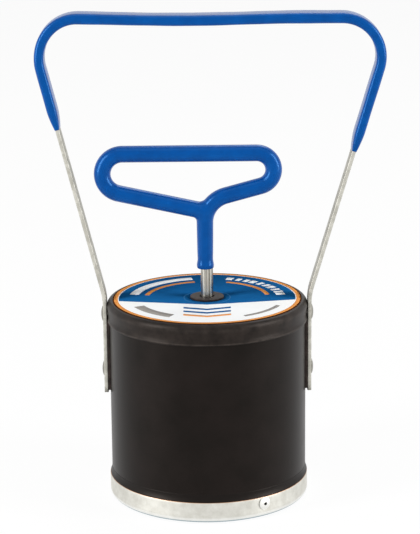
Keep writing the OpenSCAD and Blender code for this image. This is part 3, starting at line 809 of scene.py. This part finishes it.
def settled(place):
    """A place of the bail after the lift of its left side and the sag of its bar."""
    x, z, heading = place
    lift = BAIL_LIFT * (bar_right - x) / (bar_right - bar_left)
    sag = BAR_SAG * max(0, 1 - ((x - SAG_X) / SAG_REACH) ** 2) ** 2
    return x, z + (lift - sag) * eased(1 + (z - bar_z) / LIFT_FROM), heading


strap_steps = [
    (foot_run, left_lean, FOOT_R),
    (left_run, -90 - left_lean, CORNER_R),
    (bar_run, -90 - right_lean, CORNER_R),
    (right_run, right_lean, FOOT_R),
    (foot_run, 0, 0),
]
strap_places = bent((-strap_x, strap_foot_z, 90), strap_steps, STRAP_STEP)
# The rounded ends: the bar narrows over its last few millimetres
end_turn = asin(STRAP_W / 2 / STRAP_END_R)
end_angles = [end_turn * (i + END_START) / END_CUTS for i in range(END_CUTS)]
end_runs = [STRAP_END_R * (1 - cos(a)) for a in end_angles]
end_widths = [2 * STRAP_END_R * sin(a) for a in end_angles]
strap_widths = end_widths + [STRAP_W] * (len(strap_places) - 2) + end_widths[::-1]
strap_places = (
    [ahead(strap_places[0], run) for run in end_runs]
    + strap_places[1:-1]
    + [ahead(strap_places[-1], -run) for run in end_runs[::-1]]
)
strap_places = [settled(place) for place in strap_places]
strap_sections = [flat_section(STRAP_T, w, min(STRAP_EDGE_R, w / 3), 3) for w in strap_widths]

# Galvanised bar: dull warm grey, mottled with spangle. Its narrow faces, to the front and back, are
# painted paler than its broad faces, a painted sheen
bar_zinc, tree, bsdf = start_material("galvanised_bar")
place = add(tree, "TexCoord", {}).outputs["Object"]
spangle = add(tree, "TexVoronoi", {"Vector": place, "Scale": 1 / (4 * MM), "Randomness": 1.0})
patches = add(tree, "TexNoise", {"Vector": place, "Scale": 1 / (5 * MM), "Detail": 7.0, "Roughness": 0.65})
tone = add(tree, "Mix", {"Factor": 0.3, "A": patches, "B": spangle.outputs["Color"]})
contrast = add(tree, "MapRange", {"Value": tone, "From Min": 0.28, "From Max": 0.68})
face_colour = add(
    tree, "Mix", {"Factor": contrast, "A": linear("#86847b"), "B": linear("#b4b2a8")}, data_type="RGBA")
edge_sheen_colour = add(
    tree, "Mix", {"Factor": contrast, "A": linear("#a6a49a"), "B": linear("#cfcdc4")}, data_type="RGBA")
# The narrow faces, whose normals point along Y, take the painted sheen
normal = add(tree, "TexCoord", {}).outputs["Normal"]
normal_y = add(tree, "SeparateXYZ", {"Vector": normal}).outputs["Y"]
across = add(tree, "Math", {0: normal_y}, operation="ABSOLUTE")
on_edge_sheen = add(tree, "MapRange", {"Value": across, "From Min": 0.5, "From Max": 0.95})
bar_colour = add(tree, "Mix", {"Factor": on_edge_sheen, "A": face_colour, "B": edge_sheen_colour}, data_type="RGBA")
rough = add(tree, "MapRange", {"Value": patches, "To Min": 0.38, "To Max": 0.6})
relief = add(tree, "Bump", {"Height": patches, "Strength": 0.35, "Distance": 0.12 * MM})
fill(tree, bsdf, {"Base Color": bar_colour, "Metallic": 1.0, "Roughness": rough, "Normal": relief})
carry_bar = new_piece("carry_bar", *swept(strap_places, strap_sections), "can", "strap_metal", bar_zinc)
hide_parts("carry_strap")

# Carry grip
# The top of the bail dipped in blue vinyl. The coat has rounded edges, thins out towards its lower ends and
# reaches further down the right leg.
GRIP_COAT = 2.15
LEG_COAT = 1.95
GRIP_COAT_END = 0.25
GRIP_EDGE_R = 2.6
# What the edges' radius gains with each millimetre of the coat
GRIP_EDGE_GAIN = 1.45
# How far the coat reaches below the bar on each side, and how far its ends taper
GRIP_LEFT = 69.0
GRIP_RIGHT = 84.5
GRIP_TAPER = 14.0
GRIP_STEP = 0.8
# Waves along the bar, each of a height, radians per millimetre and a phase
GRIP_WAVES = [(0.05, 0.09, 0), (0.03, 0.23, 0)]

left_coated = (left_end[1] - bar_z + GRIP_LEFT) / cos(radians(left_lean))
right_coated = (right_end[1] - bar_z + GRIP_RIGHT) / cos(radians(right_lean))
grip_steps = [
    (left_coated, -90 - left_lean, CORNER_R),
    (bar_run, -90 - right_lean, CORNER_R),
    (right_coated, 0, 0),
]
grip_places = bent(ahead(left_end, -left_coated), grip_steps, GRIP_STEP)
grip_xz = np.array([place[:2] for place in grip_places])
walked = np.concatenate([[0], np.cumsum(np.hypot(*np.diff(grip_xz, axis=0).T))])
grip_sections = []
for at, (_, z, _) in zip(walked, grip_places):
    from_end = min(at, walked[-1] - at)
    full = 1 - (1 - min(1, from_end / GRIP_TAPER)) ** 2
    thick = GRIP_COAT + (LEG_COAT - GRIP_COAT) * eased((bar_z - z) / CORNER_R) + waves(at, GRIP_WAVES)
    coat = GRIP_COAT_END + (thick - GRIP_COAT_END) * full
    edge_r = min(GRIP_EDGE_R, STRAP_EDGE_R + GRIP_EDGE_GAIN * coat)
    grip_sections.append(flat_section(STRAP_T + 2 * coat, STRAP_W + 2 * coat, edge_r, 6))
grip_places = [settled(place) for place in grip_places]

# Dipped vinyl: deep blue with a soft gloss, its surface a little wavy from draining
grip_vinyl, tree, bsdf = start_material("dipped_blue_vinyl")
place = add(tree, "TexCoord", {}).outputs["Object"]
drain = add(tree, "TexNoise", {"Vector": place, "Scale": 1 / (9 * MM), "Detail": 3.0})
contrast = add(tree, "MapRange", {"Value": drain, "From Min": 0.3, "From Max": 0.7})
vinyl_colour = add(
    tree, "Mix", {"Factor": contrast, "A": linear("#003d82"), "B": linear("#004790")}, data_type="RGBA")
fine = add(tree, "TexNoise", {"Vector": place, "Scale": 1 / (1.5 * MM), "Detail": 3.0})
rough = add(tree, "MapRange", {"Value": drain, "To Min": 0.2, "To Max": 0.3})
wavy = add(tree, "Bump", {"Height": drain, "Strength": 0.14, "Distance": 0.3 * MM})
relief = add(tree, "Bump", {"Height": fine, "Strength": 0.03, "Distance": 0.05 * MM, "Normal": wavy})
fill(tree, bsdf, {
    "Base Color": vinyl_colour,
    "Roughness": rough,
    "Specular IOR Level": 0.6,
    "Specular Tint": linear("#62b4ff"),
    "Normal": relief,
})
carry_coat = new_piece(
    "carry_bar_coat", *swept(grip_places, grip_sections), "can", "grip_vinyl", grip_vinyl)
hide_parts("carry_grip")

# Loop grip
# The same vinyl dipped over the rod's loop and upper shank. It fills the crook beside the weld with a small
# web, thins towards the foot of the shank, ends there in a bead and lies thicker on the left.
ROD_R = 3.95
COAT_R = 5.35
SHANK_TAPER = 0.36
SHANK_COATED = 30.2
FORK_TURN = 74.9
FORK_R = 18.0
RIGHT_RUN = 23.5
RIGHT_R = 10.9
TOP_RUN = 85.3
LEFT_R = 12.9
WELD_RISE = 7.3
# The coat's path stops this far before the weld, inside the shank
WELD_SHORT = 3.0
COAT_SIDES = 24
SKIN_STEP = 0.5
# Spacing of the points that the skin is measured from, in millimetres and in degrees of a bend
PATH_STEP = 0.15
PATH_BEND_STEP = 0.5
BEAD_R = 5.52
BEAD_LEN = 6.2
BEAD_LIP_R = 0.9
BEAD_LIP_IN = 1.0
BEAD_STEPS = 16
# The part of the shank that is drawn to the bead, in lengths of the bead
BEAD_ZONE = 1.5
WEB = 4.0
WEB_REACH = 26.0
LEAST_WEB = 0.01
LEAST_SLOPE = 0.2
DRAWS = 4
# How far the coat lies to the left on the rod
LOOP_SET = 0.88

coat_foot_z = corners("loop_grip")[0].z
fork_z = coat_foot_z + SHANK_COATED
right_start = around((0, fork_z, 90), -FORK_TURN, FORK_R)
top_start = around(ahead(right_start, RIGHT_RUN), 90 + FORK_TURN, RIGHT_R)
top_end = ahead(top_start, TOP_RUN)
weld = (0, fork_z + WELD_RISE)
to_weld = (weld[0] - top_end[0], weld[1] - (top_end[1] - LEFT_R))
weld_run = sqrt(to_weld[0] ** 2 + to_weld[1] ** 2 - LEFT_R ** 2)
left_turn = 270 + degrees(atan2(to_weld[1], to_weld[0])) - degrees(atan2(weld_run, LEFT_R))
loop_steps = [
    (SHANK_COATED, -FORK_TURN, FORK_R),
    (RIGHT_RUN, 90 + FORK_TURN, RIGHT_R),
    (TOP_RUN, left_turn, LEFT_R),
    (weld_run - WELD_SHORT, 0, 0),
]
loop_start = (0, coat_foot_z, 90)
loop_places = bent(loop_start, loop_steps, SKIN_STEP)
round_section = arc(0, 0, COAT_R, 0, 360 - 360 / COAT_SIDES, COAT_SIDES - 1)
loop_sections = [round_section] * len(loop_places)
loop_coat = new_piece(
    "loop_coat", *swept(loop_places, loop_sections), "plunger", "grip_vinyl", grip_vinyl)
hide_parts("loop_grip")

# The coat is remade as one skin, so that its end and the shank share a surface
remesh = loop_coat.modifiers.new("one_skin", "REMESH")
remesh.mode = "VOXEL"
remesh.voxel_size = SKIN_STEP * MM
skin = bpy.data.meshes.new_from_object(loop_coat.evaluated_get(bpy.context.evaluated_depsgraph_get()))
loop_coat.modifiers.clear()
loop_coat.data = skin
skin.shade_smooth()

# Each point of the skin is then drawn to its true height over the rod, with a web where two stretches meet
path = bent(loop_start, loop_steps, PATH_STEP, PATH_BEND_STEP)
half = len(path) // 2
stretches = []
for places in (path[:half + 1], path[half:]):
    stretch = KDTree(len(places))
    for i, (x, z, _) in enumerate(places):
        stretch.insert((x, 0, z), i)
    stretch.balance()
    stretches.append(stretch)

foot_r = COAT_R - SHANK_TAPER
lip_h = 2 * BEAD_LIP_R
bead_profile = (
    [(ROD_R, coat_foot_z)]
    + arc(BEAD_R - BEAD_LIP_IN, coat_foot_z + BEAD_LIP_R, BEAD_LIP_R, -90, -8, 6)
)
for i in range(1, BEAD_STEPS + 1):
    t = i / BEAD_STEPS
    swell = (BEAD_R - foot_r) * (0.5 + 0.5 * cos(pi * t))
    bead_profile.append((foot_r + swell, coat_foot_z + lip_h + (BEAD_LEN - lip_h) * t))
bead_profile.append((foot_r + SHANK_TAPER / 2, coat_foot_z + SHANK_COATED / 2))


def on_bead(r, z):
    """The nearest point of the bead's profile."""
    best = None
    for (r0, z0), (r1, z1) in zip(bead_profile, bead_profile[1:]):
        dr, dz = r1 - r0, z1 - z0
        t = min(1, max(0, ((r - r0) * dr + (z - z0) * dz) / (dr * dr + dz * dz)))
        near = (r0 + t * dr, z0 + t * dz)
        gap = hypot(near[0] - r, near[1] - z)
        if best is None or gap < best[0]:
            best = (gap, near)
    return best[1]


for vertex in skin.vertices:
    p = vertex.co / MM
    if p.z < coat_foot_z + BEAD_ZONE * BEAD_LEN:
        r = hypot(p.x, p.y)
        if r > ROD_R:
            near_r, near_z = on_bead(r, p.z)
            vertex.co = Vector((p.x * near_r / r, p.y * near_r / r, near_z)) * MM
        continue
    coat_r = COAT_R - SHANK_TAPER * max(0, fork_z - p.z) / SHANK_COATED
    web = max(LEAST_WEB, WEB * (1 - hypot(p.x - weld[0], p.z - weld[1]) / WEB_REACH))
    for _ in range(DRAWS):
        near_a, _, gap_a = stretches[0].find(p)
        near_b, _, gap_b = stretches[1].find(p)
        share = min(1, max(0, 0.5 + 0.5 * (gap_b - gap_a) / web))
        height = gap_b * (1 - share) + gap_a * share - web * share * (1 - share) - coat_r
        slope = (p - near_a) / gap_a * share + (p - near_b) / gap_b * (1 - share)
        p = p - slope * (height / max(LEAST_SLOPE, slope.length_squared))
    vertex.co = p * MM
skin.transform(Matrix.Translation((-LOOP_SET * MM, 0, 0)))

# Floor, light and camera
# A plain white paper floor in a white studio, with a soft lamp on each side, one overhead and one behind.
# These sizes are in metres, and the lamps' powers in watts.
FLOOR_SIZE = 8.0
FLOOR_Z = -0.0004
# What the floor shows of plain white, and the world's light on the object
FLOOR_WHITE = 0.93
WORLD_LIGHT = 0.28
LAMP_AIM = (0, 0, 0.15)
CAMERA_FROM = (0.00207, -1.300, 0.4922)
CAMERA_PITCH = 75.279
CAMERA_ROLL = -0.572
CAMERA_LENS = 140.8


def on_show(tree):
    """Nodes that give 1 to rays that show the studio, in the picture or in a gloss, and 0 to the rest."""
    ray = add(tree, "LightPath", {})
    mirrored = add(tree, "Math", {
        0: ray.outputs["Is Glossy Ray"], 1: ray.outputs["Is Transmission Ray"]}, operation="MAXIMUM")
    return add(tree, "Math", {0: ray.outputs["Is Camera Ray"], 1: mirrored}, operation="MAXIMUM")


# White paper: matt, and plain white where the picture or a gloss shows it, under the object's shadow
bpy.ops.mesh.primitive_plane_add(size=FLOOR_SIZE, location=(0, 0, FLOOR_Z))
floor = bpy.context.object
floor.name = "studio_floor"
paper, tree, bsdf = start_material("white_paper")
white_share = add(tree, "Math", {0: on_show(tree), 1: FLOOR_WHITE}, operation="MULTIPLY")
glow = add(tree, "Emission", {"Color": linear("#ffffff"), "Strength": 1.0})
fill(tree, bsdf, {"Base Color": linear("#fcfcfb"), "Roughness": 0.8})
mixed = add(tree, "MixShader", {0: white_share, 1: bsdf, 2: glow})
fill(tree, tree.nodes["Material Output"], {"Surface": mixed})
floor.data.materials.append(paper)

world = bpy.data.worlds.new("white_studio")
bpy.context.scene.world = world
world.use_nodes = True
tree = world.node_tree
strength = add(tree, "MapRange", {"Value": on_show(tree), "To Min": WORLD_LIGHT, "To Max": 1.0})
fill(tree, tree.nodes["Background"], {"Color": linear("#ffffff"), "Strength": strength})

for name, lamp_from, width, tall, power in [
    ("left_lamp", (-1.3, -0.7, 0.62), 0.45, 1.2, 21.0),
    ("right_lamp", (1.4, -0.5, 0.62), 0.6, 1.2, 20.0),
    ("top_lamp", (0.0, -0.2, 1.7), 1.2, 1.2, 4.3),
    ("back_lamp", (0.4, 1.2, 1.6), 0.8, 0.8, 6.0),
]:
    light = bpy.data.lights.new(name, "AREA")
    light.shape = "RECTANGLE"
    light.size = width
    light.size_y = tall
    light.energy = power
    lamp = bpy.data.objects.new(name, light)
    lamp.location = lamp_from
    lamp.rotation_euler = (Vector(LAMP_AIM) - Vector(lamp_from)).to_track_quat("-Z", "Y").to_euler()
    bpy.context.scene.collection.objects.link(lamp)

camera = bpy.data.objects.new("camera", bpy.data.cameras.new("camera"))
camera.location = CAMERA_FROM
pitch = Matrix.Rotation(radians(CAMERA_PITCH), 3, "X")
camera.rotation_euler = (pitch @ Matrix.Rotation(radians(CAMERA_ROLL), 3, "Z")).to_euler()
camera.data.lens = CAMERA_LENS
bpy.context.scene.collection.objects.link(camera)
bpy.context.scene.camera = camera
bpy.context.scene.view_settings.view_transform = "Standard"
